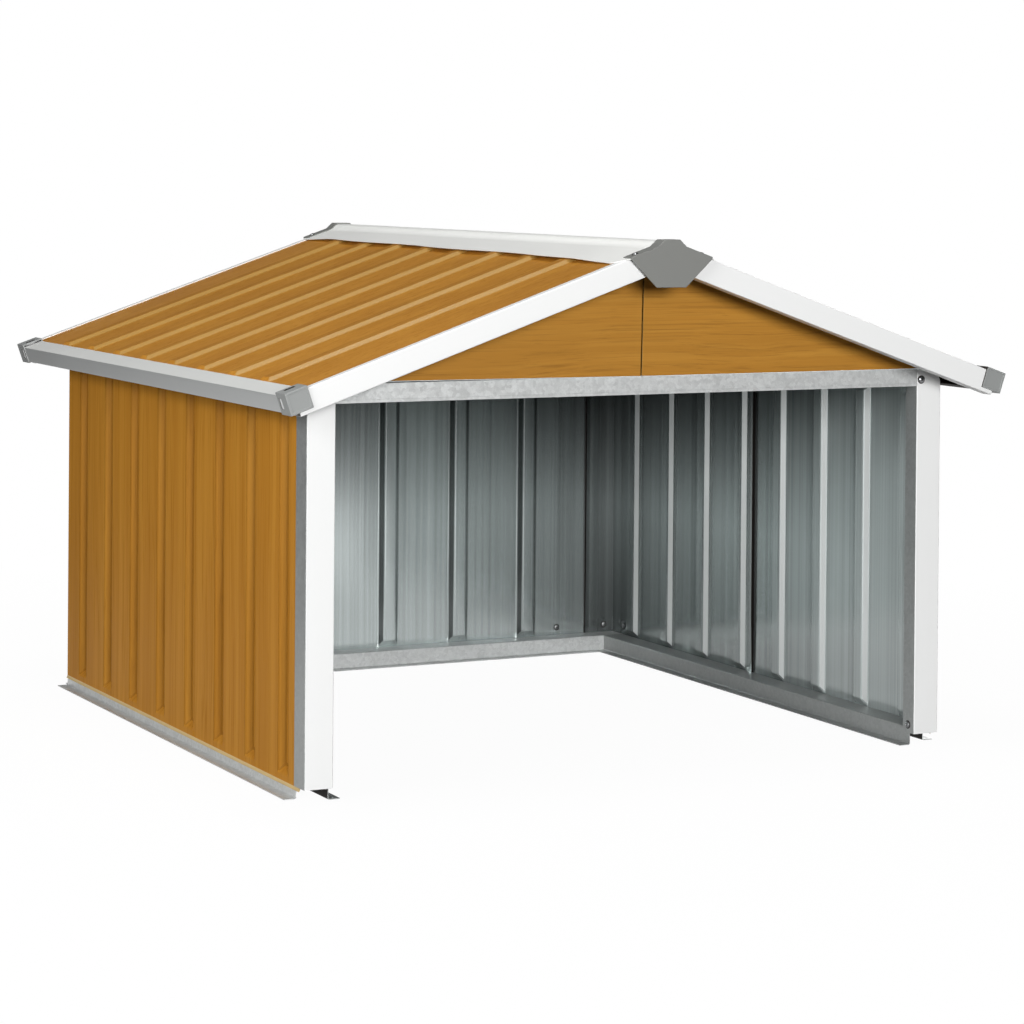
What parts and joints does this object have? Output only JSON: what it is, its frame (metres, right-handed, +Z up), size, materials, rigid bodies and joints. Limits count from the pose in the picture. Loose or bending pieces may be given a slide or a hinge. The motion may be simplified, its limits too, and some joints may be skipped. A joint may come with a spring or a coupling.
{
  "type": "robotic mower shelter",
  "caption": "Small gabled house of ribbed wood-print sheet steel, open at the front, that shelters a robotic mower at its charging place.",
  "frame": {"origin": "on the ground, at the middle of the outline", "axes": "+X to the right seen from the front, -Y out of the open front, +Z up"},
  "size_m": [0.956, 0.978, 0.6301],
  "materials": {
    "wood_print": "printed wood grain outside, bare zinc inside",
    "zinc": "galvanised",
    "white_trim": "satin",
    "grey_plastic": "moulded"
  },
  "bodies": {
    "root": {"rail_left": "zinc", "rail_right": "zinc", "rail_back": "zinc", "front_post_left": "white_trim", "front_post_right": "white_trim", "corner_angle_left": "zinc", "corner_angle_right": "zinc", "wall_left_front": "wood_print", "wall_left_rear": "wood_print", "wall_right_front": "wood_print", "wall_right_rear": "wood_print", "wall_back": "wood_print", "front_beam": "zinc", "back_beam": "zinc", "top_rail_left": "zinc", "top_rail_right": "zinc", "gable_front_left": "wood_print", "gable_front_right": "wood_print", "gable_back_left": "wood_print", "gable_back_right": "wood_print", "roof_left_front": "wood_print", "roof_left_rear": "wood_print", "roof_right_front": "wood_print", "roof_right_rear": "wood_print", "ridge_cap": "white_trim", "ridge_end_front": "grey_plastic", "ridge_end_back": "grey_plastic", "eave_trim_left": "white_trim", "eave_trim_right": "white_trim", "rake_trim_front_left": "white_trim", "rake_trim_front_right": "white_trim", "rake_trim_back_left": "white_trim", "rake_trim_back_right": "white_trim", "eave_cap_front_left": "grey_plastic", "eave_cap_front_right": "grey_plastic", "eave_cap_back_left": "grey_plastic", "eave_cap_back_right": "grey_plastic"}
  },
  "joints": []
}
